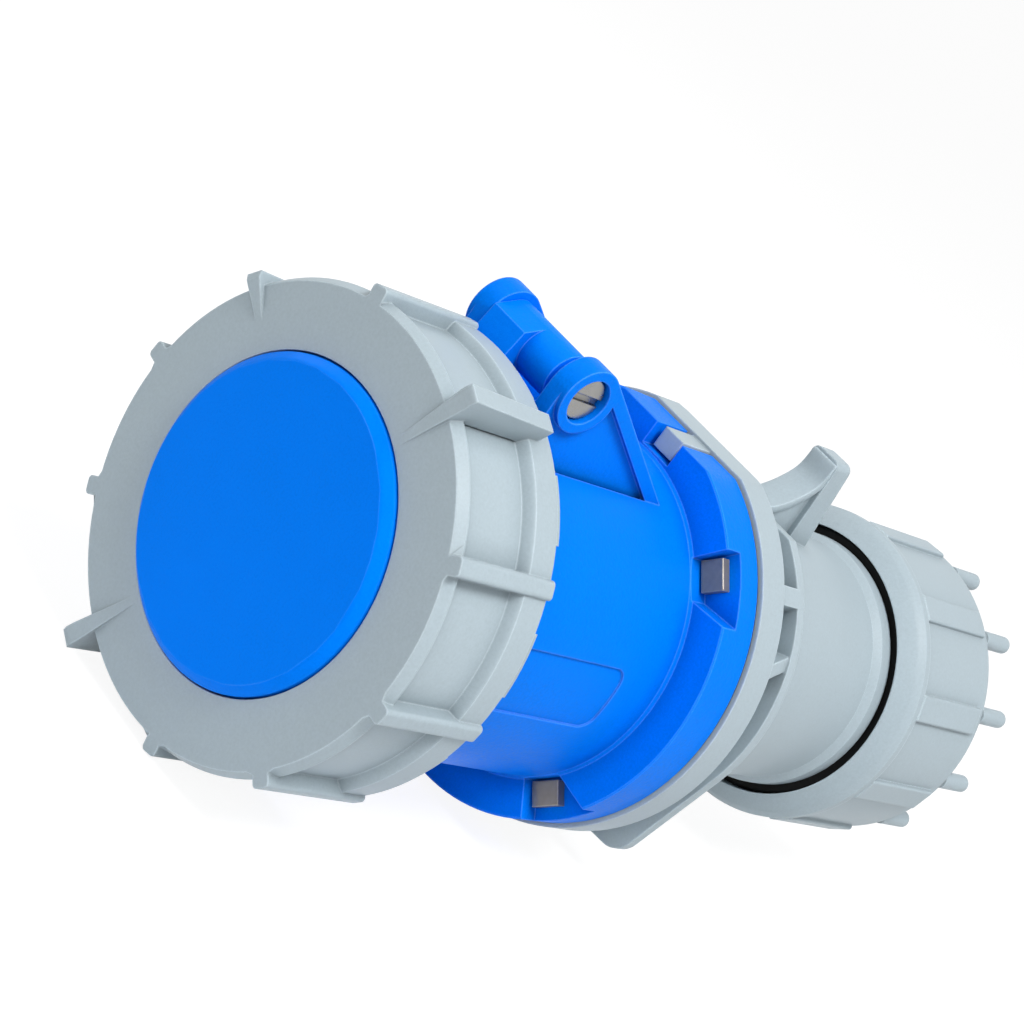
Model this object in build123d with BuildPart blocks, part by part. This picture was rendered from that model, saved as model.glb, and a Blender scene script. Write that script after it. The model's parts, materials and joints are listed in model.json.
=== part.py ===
from build123d import *
import os
from math import acos, cos, degrees, hypot, radians, sin, sqrt

os.makedirs("parts", exist_ok=True)

# Cable connector of the pin and sleeve kind, lying with its hinge up.
# X runs from the sleeve's mouth to the cable, Z points to the hinge, Y to the far side.
# The origin is on the axis at the mouth. Angles psi start at the hinge and turn about +X.

# Clearances, all radial or along the axis
running_fit = 0.05
sliding_fit = 0.3
free_gap = 0.6
bolt_gap = 0.3

# Places along the axis
sleeve_step_x = 31.0
seat_x = sleeve_step_x + 31.0
flange_front_x = 101.5
flange_thickness = 14.3
split_x = flange_front_x + flange_thickness
gasket_thickness = 1.0
grey_flange_front_x = split_x + gasket_thickness
grey_flange_back_x = grey_flange_front_x + 11.5
lip_front_x = grey_flange_back_x + 17.3
lip_back_x = lip_front_x + 3.5
tube_end_x = 225.0
thread_start_x = tube_end_x + 5.0
thread_end_x = thread_start_x + 21.0
nut_front_x = tube_end_x - 2.7
nut_back_x = thread_end_x + 21.0

# Front housing
sleeve_bore = 43.0
sleeve_radius = sleeve_bore + 3.0
tube_radius = sleeve_radius + 4.1
wide_bore = tube_radius - 3.6
flange_radius = tube_radius + 11.7
flange_flat_z = flange_radius - 3.2
notch_y = (-8.0, 3.4)
notch_floor_z = tube_radius + 1.4
nub_angle = 90.0
nub_half_width = 5.0
nub_front_x = 15.0
nub_back_x = 19.0
nub_radius = sleeve_radius + 8.5
key_width = 9.0
key_depth = 1.6
label_start = 78.0
label_sweep = 22.5
label_x = (39.0, 84.0)
label_depth = 0.6
label_corner = 4.0

# Square fasteners in the flange's pockets
bolt_angles = (45.0, -45.0, 135.0, -135.0)
bolt_circle = tube_radius + 4.4
bolt_head = (7.0, 8.8, 3.0)
bolt_radius = 2.5
pocket_depth = 6.0
pocket_inner_radius = tube_radius + 0.5
pocket_reach = flange_radius + 8.0
pocket_near_angle = 5.4
pocket_far_angle = 7.8
pocket_outer_angle = 17.0
insert_radius = 3.5
insert_length = 7.5

# Hinge
hinge_x = 39.0
hinge_z = 66.0
pin_radius = 3.0
pin_head_radius = 6.0
pin_head_thickness = 3.0
pin_slot = (1.8, 1.2)
pin_head_y = -19.5
ear_inner_y = 14.3
ear_outer_y = 21.0
ear_boss_radius = 9.3
ear_front_x = 29.7
ear_root = (91.0, 45.5)
ear_rib = 3.6
ear_web_recess = 1.7
barrel_radius = 7.2
barrel_y = (-11.4, 14.0)
arm_y = (0.6, 14.0)
arm_bottom_z = 48.5
arm_top_z = 52.5

# Cap
disc_radius = 42.7
disc_front_x = -14.0
disc_edge = 2.5
disc_wall = 4.0
cap_flange_radius = 56.7
cap_flange_back_x = -2.0
cap_gasket_radii = (42.0, 48.0)
cap_gasket_groove = 1.2

# Locking ring
ring_front_x = -11.0
ring_plate = 4.0
ring_hole = disc_radius + free_gap
ring_bore = cap_flange_radius + sliding_fit
ring_wall = 3.4
ring_panel_radius = ring_bore + ring_wall
ring_edge_radius = ring_panel_radius + 1.8
ring_edge_front = ring_edge_radius - 1.5
ring_edge_width = 3.0
ring_band_width = 1.8
ring_radius = ring_panel_radius + 4.5
rim_radius = ring_radius - 1.4
ring_rear_bore = rim_radius - 3.5
ring_step_x = 15.0
ring_back_x = ring_step_x + 10.0
ring_rear_bore_x = ring_step_x + 2.5
ring_rib_count = 10
ring_rib_width = 5.0
ring_rib_start = 25.0
rim_tooth = (16.0, 1.3)
fin_angles = (26.4, 206.4)
fin_tip_radius = ring_hole + 2.2
fin_top_radius = ring_radius + 5.4
fin_proud = 1.6
small_fin_angle = -49.0
small_fin_tip_radius = ring_hole + 8.7
small_fin_top_radius = ring_radius - 0.5
small_fin_proud = 1.8
fin_steps = (0, 5, 8)
fin_back_x = ring_back_x - 6.0
fin_width = 5.0
fin_tip_width = 2.0
fin_taper_end = ring_radius + 1.1
ramp_radius = ring_rear_bore - 7.8
ramp_front_x = nub_back_x + 0.4
ramp_thickness = 4.0
ramp_starts = (55.0, -125.0)
ramp_sweep = 24.0
retainer_groove_radius = ring_bore + 1.2
retainer_inner_radius = retainer_groove_radius - 3.3
retainer_thickness = 2.0
retainer_opening = 26.0

# Rear housing
grey_flange_radius = flange_radius + 0.9
grey_flat_z = flange_flat_z + 1.0
neck_radius = 48.0
housing_wall = 3.0
neck_rib_width = 5.6
slant_lip = (16.5, 21.0)
slant_flange = (26.0, 30.5)
slant_middle = 23.5
lip_radius = 55.6
lip_flat_z = 49.5
lug_angle = 140.0
lug_reach = 66.0
lug_tip_radius = 8.0
tab_y = (-5.9, 1.7)
tab_top_z = flange_flat_z
tab_floor_z = notch_floor_z + 0.9
tab_front_x = 104.0
tube_front_radius = 43.5
tube_middle = (188.0, 40.5)
tube_waist = (207.0, 38.6)
tube_end_radius = 38.1
bead_radius = tube_end_radius + 1.9
blade_half_width = 5.5
gusset_half_width = 3.5
thread_radius = 41.5
gland_bore = 34.0
gland_step_x = tube_end_x - 3.0
gland_step_bore = 31.0

# Gland
nut_bore = 42.0
nut_radius = 49.7
nut_collar_step = 1.1
nut_ridge_radius = 47.7
nut_lip_radius = 42.9
nut_opening = 27.0
nut_wall = 10.0
nut_travel = 3.0
pad_count = 10
pad_width = 8.6
pad_height = 0.3
peg_count = 12
peg_radius = 2.75
peg_circle = 46.0
peg_length = 14.0
seal_radii = (38.4, 42.6)
cable_bore = 20.0
grommet_end_x = gland_step_x + 18.0
washer_x = grommet_end_x + 3.5
washer_thickness = 2.5
cage_inner_radius = 24.0
cage_outer_radius = 33.4
cage_fingers = 8

# Contacts
contact_circle = 19.0
earth_angle = 180.0
phase_angle = 60.0
neutral_angle = -60.0
island_radius = 34.0
island_front_x = 4.0
carrier_flange_radius = wide_bore - sliding_fit
carrier_flange = 6.0
carrier_body_radius = 40.0
carrier_back_x = 95.0
back_plate_x = (carrier_back_x, carrier_back_x + 6.0)
carrier_screw_angles = (30.0, 150.0, 270.0)
carrier_screw_circle = 32.0
carrier_screw_radius = 1.5
carrier_screw_head = (3.2, 2.4)
carrier_screw_drive = (5.0, 0.9, 1.2)
carrier_screw_depth = 14.0
power_bore = 5.05
power_radius = 7.5
earth_bore = 6.05
earth_radius = 8.5
pilot_bore = 3.05
pilot_radius = 5.0
entry_lip = 4.0
socket_depth = 46.0
neck_back_x = 116.0
terminal_depth = 14.0


def around(radius, psi):
    """Point at an angle, in a plane square to the axis."""
    return (-radius * sin(radians(psi)), radius * cos(radians(psi)))


def cross_plane(x):
    """Plane square to the axis, with local x along Y and local y along Z."""
    return Plane.YZ.offset(x)


def radial_plane(psi):
    """Plane through the axis, with local x along X and local y outwards."""
    return Plane(
        origin=(0, 0, 0),
        x_dir=(1, 0, 0),
        z_dir=(0, -cos(radians(psi)), -sin(radians(psi))),
    )


def outward_plane(psi, radius=0.0):
    """Plane facing outwards, with local x towards larger psi and local y along X."""
    side, up = around(1, psi)
    return Plane(
        origin=(0, side * radius, up * radius), x_dir=(0, -up, side), z_dir=(0, side, up)
    )


def face_plane(psi, x):
    """Plane square to the axis, with local x outwards at an angle."""
    side, up = around(1, psi)
    return Plane(origin=(x, 0, 0), x_dir=(0, side, up), z_dir=(1, 0, 0))


def section(*points, plane=Plane.XZ):
    """Closed outline with straight sides."""
    with BuildSketch(plane) as outline:
        with BuildLine():
            Polyline(*points, close=True)
        make_face()
    return outline.sketch


def tube_section(x0, x1, inner, outer):
    """Rectangle of a ring, ready to be turned about the axis."""
    return section((x0, inner), (x1, inner), (x1, outer), (x0, outer))


def disc(x, radius, centre=(0, 0)):
    """Circle square to the axis."""
    with BuildSketch(cross_plane(x)) as circle:
        with Locations(centre):
            Circle(radius)
    return circle.sketch


def segment(x0, x1, inner, outer, start, sweep):
    """Part of a ring between two angles."""
    with BuildPart(mode=Mode.PRIVATE) as piece:
        profile = section(
            (x0, inner), (x1, inner), (x1, outer), (x0, outer), plane=radial_plane(start)
        )
        revolve(profile, axis=Axis.X, revolution_arc=sweep)
    return piece.part


def flat_cut(z, x0, x1):
    """Block above a height, for the flats on the hinge side."""
    size = 2 * grey_flange_radius
    return section((x0, z), (x1, z), (x1, z + size), (x0, z + size))


# Front housing: sleeve, tube, flange and hinge ears moulded as one
with BuildPart() as front_housing:
    outer_profile = section(
        (0, 0),
        (0, sleeve_radius - 0.8),
        (0.8, sleeve_radius),
        (sleeve_step_x, sleeve_radius),
        (sleeve_step_x + 4, tube_radius),
        (flange_front_x - 0.8, tube_radius),
        (flange_front_x, tube_radius + 0.8),
        (flange_front_x, flange_radius - 0.4),
        (flange_front_x + 0.4, flange_radius),
        (split_x, flange_radius - 0.3),
        (split_x, 0),
    )
    revolve(outer_profile, axis=Axis.X)
    extrude(flat_cut(flange_flat_z, flange_front_x - 4, split_x + 1), amount=80, both=True,
            mode=Mode.SUBTRACT)
    for side in (-1, 1):
        ear_plane = Plane.XZ.offset(-side * (ear_inner_y + ear_outer_y) / 2)
        rear_x, rear_z = ear_root
        reach = hypot(rear_x - hinge_x, hinge_z - rear_z)
        drop = degrees(acos((rear_x - hinge_x) / reach))
        tangent = radians(degrees(acos(ear_boss_radius / reach)) - drop)
        touch = (
            hinge_x + ear_boss_radius * cos(tangent),
            hinge_z + ear_boss_radius * sin(tangent),
        )
        with BuildSketch(ear_plane) as ear_face:
            with BuildLine():
                Polyline(
                    (ear_front_x, hinge_z), (ear_front_x, 30), (rear_x, 30), ear_root, touch
                )
                ThreePointArc(touch, (hinge_x, hinge_z + ear_boss_radius), (ear_front_x, hinge_z))
            make_face()
        extrude(ear_face.sketch, amount=(ear_outer_y - ear_inner_y) / 2, both=True)
        # The web is thinner than the boss and the rib along the ear's back
        lean = (rear_x - touch[0]) / (touch[1] - rear_z)
        rib_run = ear_rib * hypot(1, lean)
        with BuildSketch(Plane.XZ.offset(-side * ear_outer_y)) as web:
            with BuildLine():
                Polyline(
                    (ear_front_x - 1, hinge_z), (touch[0] - rib_run, touch[1]),
                    (rear_x - rib_run, rear_z), (rear_x - rib_run, 40), (ear_front_x - 1, 40),
                    close=True,
                )
            make_face()
            with Locations((hinge_x, hinge_z)):
                Circle(ear_boss_radius, mode=Mode.SUBTRACT)
        extrude(web.sketch, amount=side * ear_web_recess, mode=Mode.SUBTRACT)
    revolve(tube_section(-1, seat_x, 0, sleeve_bore), axis=Axis.X, mode=Mode.SUBTRACT)
    revolve(tube_section(seat_x, split_x + 1, 0, wide_bore), axis=Axis.X, mode=Mode.SUBTRACT)
    # Keyway for the plug's key, opposite the hinge
    keyway = section(
        (-1, sleeve_bore - 2), (seat_x, sleeve_bore - 2),
        (seat_x, sleeve_bore + key_depth), (-1, sleeve_bore + key_depth),
        plane=radial_plane(180),
    )
    extrude(keyway, amount=key_width / 2, both=True, mode=Mode.SUBTRACT)
    # Notch for the rear housing's index tab
    notch = section(
        (flange_front_x - 1, notch_floor_z), (split_x + 1, notch_floor_z),
        (split_x + 1, grey_flange_radius), (flange_front_x - 1, grey_flange_radius),
        plane=Plane.XZ.offset(-notch_y[1]),
    )
    extrude(notch, amount=notch_y[1] - notch_y[0], mode=Mode.SUBTRACT)
    # Pockets for the square fasteners, each wider outwards on the side away from the hinge
    for psi in bolt_angles:
        turn = 1 if psi in (45.0, -135.0) else -1
        near = psi - turn * pocket_near_angle
        far = psi + turn * pocket_far_angle
        far_out = psi + turn * pocket_outer_angle
        with BuildSketch(cross_plane(flange_front_x - 1)) as pocket_face:
            with BuildLine():
                Polyline(
                    around(pocket_inner_radius, near), around(pocket_reach, near),
                    around(pocket_reach, far_out), around(pocket_inner_radius, far), close=True,
                )
            make_face()
        extrude(pocket_face.sketch, amount=pocket_depth + 1, mode=Mode.SUBTRACT)
        hole = disc(flange_front_x, bolt_radius + bolt_gap, around(bolt_circle, psi))
        extrude(hole, amount=split_x - flange_front_x, mode=Mode.SUBTRACT)
    # Recessed panel where a label would sit
    with BuildPart(mode=Mode.PRIVATE) as label_cut:
        add(segment(*label_x, tube_radius - label_depth, tube_radius + 1, label_start, label_sweep))
        corners = label_cut.edges().filter_by(GeomType.LINE)
        upright = [edge for edge in corners if abs(edge.tangent_at(0).X) < 0.5]
        fillet(upright, radius=label_corner)
    add(label_cut.part, mode=Mode.SUBTRACT)
    # Bayonet nubs that the locking ring pulls on
    for psi in (nub_angle, -nub_angle):
        add(segment(nub_front_x, nub_back_x, sleeve_radius - 0.5, nub_radius,
                    psi - nub_half_width, 2 * nub_half_width))
    # Pin bore through both ears, with a seat for the head in the near one
    with BuildSketch(Plane.XZ.offset(-ear_outer_y - 1)) as pin_bore:
        with Locations((hinge_x, hinge_z)):
            Circle(pin_radius + running_fit)
    extrude(pin_bore.sketch, amount=2 * ear_outer_y + 2, mode=Mode.SUBTRACT)
    head_seat_y = pin_head_y + pin_head_thickness
    with BuildSketch(Plane.XZ.offset(-head_seat_y)) as head_bore:
        with Locations((hinge_x, hinge_z)):
            Circle(pin_head_radius + 0.5)
    extrude(head_bore.sketch, amount=ear_outer_y + head_seat_y + 1, mode=Mode.SUBTRACT)
front_housing.part.label = "front_housing"

# Hinge pin with a slotted head
with BuildPart() as hinge_pin:
    with BuildSketch(Plane.XZ.offset(-head_seat_y)) as head:
        with Locations((hinge_x, hinge_z)):
            Circle(pin_head_radius)
    extrude(head.sketch, amount=pin_head_thickness)
    with BuildSketch(Plane.XZ.offset(-head_seat_y)) as shank:
        with Locations((hinge_x, hinge_z)):
            Circle(pin_radius)
    extrude(shank.sketch, amount=head_seat_y - ear_outer_y + 0.5)
    with BuildSketch(Plane.XZ.offset(-pin_head_y)) as slot:
        with Locations((hinge_x, hinge_z)):
            Rectangle(3 * pin_head_radius, pin_slot[0])
    extrude(slot.sketch, amount=-pin_slot[1], mode=Mode.SUBTRACT)
hinge_pin.part.label = "hinge_pin"

# Square-headed screws that hold the two housings together
with BuildPart() as housing_bolts:
    for psi in bolt_angles:
        floor_x = flange_front_x + pocket_depth
        with BuildSketch(outward_plane(psi, bolt_circle - bolt_head[0] / 2)) as head:
            with Locations((0, floor_x - bolt_head[2] / 2)):
                Rectangle(bolt_head[1], bolt_head[2])
        extrude(head.sketch, amount=bolt_head[0])
        shank = disc(floor_x, bolt_radius, around(bolt_circle, psi))
        extrude(shank, amount=grey_flange_front_x + insert_length - 1 - floor_x)
housing_bolts.part.label = "housing_bolts"

# Brass inserts in the rear housing's flange
with BuildPart() as threaded_inserts:
    for psi in bolt_angles:
        centre = around(bolt_circle, psi)
        extrude(disc(grey_flange_front_x, insert_radius, centre), amount=insert_length)
        extrude(disc(grey_flange_front_x, bolt_radius + running_fit, centre),
                amount=insert_length, mode=Mode.SUBTRACT)
threaded_inserts.part.label = "threaded_inserts"

# Rubber seal between the flanges
with BuildPart() as flange_gasket:
    gasket_edge = 0.8
    revolve(tube_section(split_x, grey_flange_front_x, wide_bore, flange_radius - gasket_edge),
            axis=Axis.X)
    extrude(flat_cut(flange_flat_z - gasket_edge, split_x - 1, grey_flange_front_x + 1),
            amount=80, both=True, mode=Mode.SUBTRACT)
    notch = section(
        (split_x - 1, notch_floor_z), (grey_flange_front_x + 1, notch_floor_z),
        (grey_flange_front_x + 1, grey_flange_radius), (split_x - 1, grey_flange_radius),
        plane=Plane.XZ.offset(-notch_y[1]),
    )
    extrude(notch, amount=notch_y[1] - notch_y[0], mode=Mode.SUBTRACT)
    for psi in bolt_angles:
        hole = disc(split_x, bolt_radius + bolt_gap, around(bolt_circle, psi))
        extrude(hole, amount=gasket_thickness, mode=Mode.SUBTRACT)
flange_gasket.part.label = "flange_gasket"

# Rear housing: flange, ribbed neck, lip plate, tapered tube and thread moulded as one
with BuildPart() as rear_housing:
    body_profile = section(
        (grey_flange_front_x, 0),
        (grey_flange_front_x, grey_flange_radius),
        (grey_flange_back_x - 1, grey_flange_radius),
        (grey_flange_back_x, grey_flange_radius - 1),
        (grey_flange_back_x, neck_radius),
        (lip_front_x, neck_radius),
        (lip_front_x, lip_radius),
        (lip_back_x, lip_radius),
        (lip_back_x, tube_front_radius + 2),
        (lip_back_x + 2, tube_front_radius),
        tube_middle,
        tube_waist,
        (tube_end_x - 9, tube_end_radius + 0.2),
        (tube_end_x - 6.4, bead_radius),
        (tube_end_x - 1.6, bead_radius),
        (tube_end_x, bead_radius - 0.8),
        (tube_end_x, tube_end_radius),
        (thread_start_x, tube_end_radius),
        (thread_start_x, thread_radius),
        (thread_end_x - 1, thread_radius),
        (thread_end_x, thread_radius - 1),
        (thread_end_x, 0),
    )
    revolve(body_profile, axis=Axis.X)
    extrude(flat_cut(grey_flat_z, grey_flange_front_x - 1, grey_flange_back_x + 1),
            amount=80, both=True, mode=Mode.SUBTRACT)
    extrude(flat_cut(lip_flat_z, lip_front_x - 1, lip_back_x + 1), amount=80, both=True,
            mode=Mode.SUBTRACT)
    # Index tab that reaches through the front flange's notch
    tab = section(
        (tab_front_x, tab_floor_z), (grey_flange_front_x + 1, tab_floor_z),
        (grey_flange_front_x + 1, tab_top_z), (tab_front_x, tab_top_z),
        plane=Plane.XZ.offset(-tab_y[1]),
    )
    extrude(tab, amount=tab_y[1] - tab_y[0])
    # Four ribs square to the lip plate, and slanted ones beside them
    for psi in bolt_angles:
        rib = section(
            (grey_flange_back_x - 1, neck_radius - 2), (lip_front_x + 1, neck_radius - 2),
            (lip_front_x + 1, lip_radius), (grey_flange_back_x - 1, lip_radius),
            plane=radial_plane(psi),
        )
        extrude(rib, amount=neck_rib_width / 2, both=True)
        turn = 1 if psi in (45.0, -135.0) else -1
        middle = psi + turn * slant_middle
        steps = (slant_lip[0], slant_lip[1], slant_flange[1], slant_flange[0])
        places = (lip_front_x + 1, lip_front_x + 1, grey_flange_back_x - 1, grey_flange_back_x - 1)
        corners = [
            (lip_radius * sin(radians(turn * (step - slant_middle))), x)
            for step, x in zip(steps, places)
        ]
        with BuildSketch(outward_plane(middle, neck_radius - 3)) as slanted:
            with BuildLine():
                Polyline(*corners, close=True)
            make_face()
        extrude(slanted.sketch, amount=lip_radius - neck_radius + 2)
    # Lugs on the lip plate, with sides tangent to its edge
    lug_centre_radius = lug_reach - lug_tip_radius
    spread = degrees(acos((lip_radius - lug_tip_radius) / lug_centre_radius))
    for psi in (lug_angle, -lug_angle):
        with BuildSketch(cross_plane(lip_front_x)) as lug:
            with Locations(around(lug_centre_radius, psi)):
                Circle(lug_tip_radius)
            with BuildLine():
                centre_y, centre_z = around(lug_centre_radius, psi)
                tip_left = around(lug_tip_radius, psi - spread)
                tip_right = around(lug_tip_radius, psi + spread)
                Polyline(
                    around(lip_radius, psi - spread),
                    (centre_y + tip_left[0], centre_z + tip_left[1]),
                    (centre_y + tip_right[0], centre_z + tip_right[1]),
                    around(lip_radius, psi + spread),
                    around(neck_radius - 2, psi + spread),
                    around(neck_radius - 2, psi - spread),
                    close=True,
                )
            make_face()
        extrude(lug.sketch, amount=lip_back_x - lip_front_x)
    # Blade and gusset that the plug's retaining strap or cover hooks on
    blade = section(
        (177.5, 38.0), (174.8, 68.3), (182.0, 68.3), (187.6, 38.0),
    )
    extrude(blade, amount=blade_half_width, both=True)
    with BuildSketch(Plane.XZ) as gusset:
        with BuildLine():
            Spline((175.0, 67.0), (173.4, 58.0), (162.7, 49.0), (147.5, 46.5))
            Polyline((147.5, 46.5), (147.5, 38.0), (181.0, 38.0), (181.0, 66.0), (175.0, 67.0))
        make_face()
    extrude(gusset.sketch, amount=gusset_half_width, both=True)
    # Hollow inside, with a step that the grommet seats on
    hollow = section(
        (grey_flange_front_x - 1, 0),
        (grey_flange_front_x - 1, neck_radius - housing_wall),
        (lip_back_x - 4, neck_radius - housing_wall),
        (lip_back_x, tube_front_radius - housing_wall),
        (tube_middle[0], tube_middle[1] - housing_wall),
        (tube_waist[0], tube_waist[1] - housing_wall - 1),
        (gland_step_x - 6, gland_step_bore),
        (gland_step_x, gland_step_bore),
        (gland_step_x, gland_bore),
        (thread_end_x + 1, gland_bore),
        (thread_end_x + 1, 0),
    )
    revolve(hollow, axis=Axis.X, mode=Mode.SUBTRACT)
    for psi in bolt_angles:
        extrude(disc(grey_flange_front_x, insert_radius, around(bolt_circle, psi)),
                amount=insert_length, mode=Mode.SUBTRACT)
rear_housing.part.label = "rear_housing"

# Rubber ring in front of the thread
with BuildPart() as nut_seal:
    revolve(tube_section(tube_end_x, thread_start_x, tube_end_radius, seal_radii[1]), axis=Axis.X)
    rims = nut_seal.edges().filter_by(GeomType.CIRCLE).group_by(SortBy.RADIUS)[-1]
    fillet(rims, radius=1.2)
nut_seal.part.label = "nut_seal"

# Rubber grommet that closes on the cable
with BuildPart() as cable_grommet:
    revolve(tube_section(gland_step_x, grommet_end_x, cable_bore, gland_bore), axis=Axis.X)
    for step in range(3):
        groove_x = gland_step_x + 4 + 4.5 * step
        revolve(tube_section(groove_x, groove_x + 1.5, cable_bore - 1, cable_bore + 1.5),
                axis=Axis.X, mode=Mode.SUBTRACT)
cable_grommet.part.label = "cable_grommet"

# Slip washer between the grommet and the cage
with BuildPart() as pressure_washer:
    revolve(tube_section(washer_x, washer_x + washer_thickness, cage_inner_radius,
                         cage_outer_radius), axis=Axis.X)
pressure_washer.part.label = "pressure_washer"

# Slotted cage whose fingers the nut pushes on the cable
with BuildPart() as clamp_cage:
    cage_front_x = washer_x + washer_thickness
    cage_back_x = nut_back_x - nut_wall - sliding_fit
    cage_profile = section(
        (cage_front_x, cage_inner_radius + 2),
        (cage_front_x, cage_outer_radius),
        (thread_end_x + 3, cage_outer_radius),
        (cage_back_x, cage_inner_radius + 5),
        (cage_back_x, cage_inner_radius),
        (thread_end_x + 2, cage_inner_radius),
    )
    revolve(cage_profile, axis=Axis.X)
    with BuildSketch(cross_plane(cage_back_x)) as slots:
        with PolarLocations(cage_outer_radius - 3, cage_fingers):
            Rectangle(14, 2.2)
    extrude(slots.sketch, amount=-(cage_back_x - cage_front_x - 4), mode=Mode.SUBTRACT)
clamp_cage.part.label = "clamp_cage"

# Gland nut with grip pads on its side and pegs on its back
with BuildPart() as gland_nut:
    nut_profile = section(
        (nut_front_x, nut_lip_radius),
        (nut_front_x + 3.1, nut_ridge_radius),
        (nut_front_x + 6.0, nut_radius),
        (nut_front_x + 8.6, nut_radius),
        (nut_front_x + 9.2, nut_radius - nut_collar_step),
        (nut_back_x - 2.5, nut_radius - nut_collar_step),
        (nut_back_x - 0.8, nut_radius - nut_collar_step - 0.8),
        (nut_back_x, nut_radius - 2.5),
        (nut_back_x, nut_opening + 2),
        (nut_back_x - 2, nut_opening),
        (nut_back_x - nut_wall, nut_opening),
        (nut_back_x - nut_wall, nut_bore),
        (thread_start_x + nut_travel + 0.5, nut_bore),
        (thread_start_x + nut_travel + 0.5, nut_lip_radius),
    )
    revolve(nut_profile, axis=Axis.X)
    pad = section(
        (nut_front_x + 7.7, nut_radius - 2), (nut_back_x - 5, nut_radius - 2),
        (nut_back_x - 6, nut_radius + pad_height), (nut_front_x + 8.7, nut_radius + pad_height),
    )
    with BuildPart(mode=Mode.PRIVATE) as one_pad:
        extrude(pad, amount=pad_width / 2, both=True)
        long_edges = one_pad.edges().filter_by(Axis.X).group_by(Axis.Z)[-1]
        fillet(long_edges, radius=0.8)
    for step in range(pad_count):
        add(one_pad.part.rotate(Axis.X, 31.5 + step * 360 / pad_count))
    with BuildSketch(cross_plane(nut_back_x - 1)) as pegs:
        with PolarLocations(peg_circle, peg_count, start_angle=5):
            Circle(peg_radius)
    extrude(pegs.sketch, amount=peg_length + 1)
    tips = gland_nut.edges().group_by(Axis.X)[-1]
    fillet(tips, radius=1.2)
gland_nut.part.label = "gland_nut"

# Insulating parts for the contact sockets: the plate that the pins enter comes first
sockets = (
    ("phase_socket", phase_angle, contact_circle, power_bore, power_radius),
    ("neutral_socket", neutral_angle, contact_circle, power_bore, power_radius),
    ("earth_socket", earth_angle, contact_circle, earth_bore, earth_radius),
    ("pilot_socket", 0.0, 0.0, pilot_bore, pilot_radius),
)
neck_wall = 1.2
socket_front_x = island_front_x + entry_lip
with BuildPart() as contact_face:
    extrude(disc(island_front_x, island_radius), amount=entry_lip)
    rim = contact_face.edges().filter_by(GeomType.CIRCLE).group_by(Axis.X)[0]
    chamfer(rim, length=0.8)
    for name, psi, circle, bore, radius in sockets:
        hole = disc(island_front_x, bore + 0.5, around(circle, psi))
        extrude(hole, amount=entry_lip, mode=Mode.SUBTRACT)
contact_face.part.label = "contact_face"

# Island that the sockets stand in
with BuildPart() as contact_island:
    extrude(disc(socket_front_x, island_radius), amount=seat_x - socket_front_x)
    for name, psi, circle, bore, radius in sockets:
        hole = disc(socket_front_x, radius, around(circle, psi))
        extrude(hole, amount=seat_x - socket_front_x, mode=Mode.SUBTRACT)
contact_island.part.label = "contact_island"

# Carrier behind it, seated on the sleeve's step
with BuildPart() as contact_carrier:
    extrude(disc(seat_x, carrier_flange_radius), amount=carrier_flange)
    extrude(disc(seat_x, carrier_body_radius), amount=carrier_back_x - seat_x)
    for name, psi, circle, bore, radius in sockets:
        hole = disc(seat_x, radius, around(circle, psi))
        extrude(hole, amount=carrier_back_x - seat_x, mode=Mode.SUBTRACT)
    for psi in carrier_screw_angles:
        hole = disc(carrier_back_x, carrier_screw_radius, around(carrier_screw_circle, psi))
        extrude(hole, amount=-carrier_screw_depth, mode=Mode.SUBTRACT)
contact_carrier.part.label = "contact_carrier"

# Plate that keeps the sockets in the carrier
with BuildPart() as carrier_back:
    extrude(disc(back_plate_x[0], carrier_body_radius), amount=back_plate_x[1] - back_plate_x[0])
    for name, psi, circle, bore, radius in sockets:
        hole = disc(back_plate_x[0], radius - neck_wall, around(circle, psi))
        extrude(hole, amount=back_plate_x[1] - back_plate_x[0], mode=Mode.SUBTRACT)
    for psi in carrier_screw_angles:
        centre = around(carrier_screw_circle, psi)
        hole = disc(back_plate_x[0], carrier_screw_radius + bolt_gap, centre)
        extrude(hole, amount=back_plate_x[1] - back_plate_x[0], mode=Mode.SUBTRACT)
carrier_back.part.label = "carrier_back"

# Screws through the back plate
with BuildPart() as carrier_screws:
    for psi in carrier_screw_angles:
        centre = around(carrier_screw_circle, psi)
        head_radius, head_height = carrier_screw_head
        reach, width, depth = carrier_screw_drive
        shank_length = back_plate_x[1] - carrier_back_x + carrier_screw_depth - 4
        extrude(disc(back_plate_x[1], head_radius, centre), amount=head_height)
        extrude(disc(back_plate_x[1], carrier_screw_radius, centre), amount=-shank_length)
        with BuildSketch(cross_plane(back_plate_x[1] + head_height)) as drive:
            with Locations(centre):
                Rectangle(reach, width)
                Rectangle(width, reach)
        extrude(drive.sketch, amount=-depth, mode=Mode.SUBTRACT)
carrier_screws.part.label = "carrier_screws"

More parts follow.
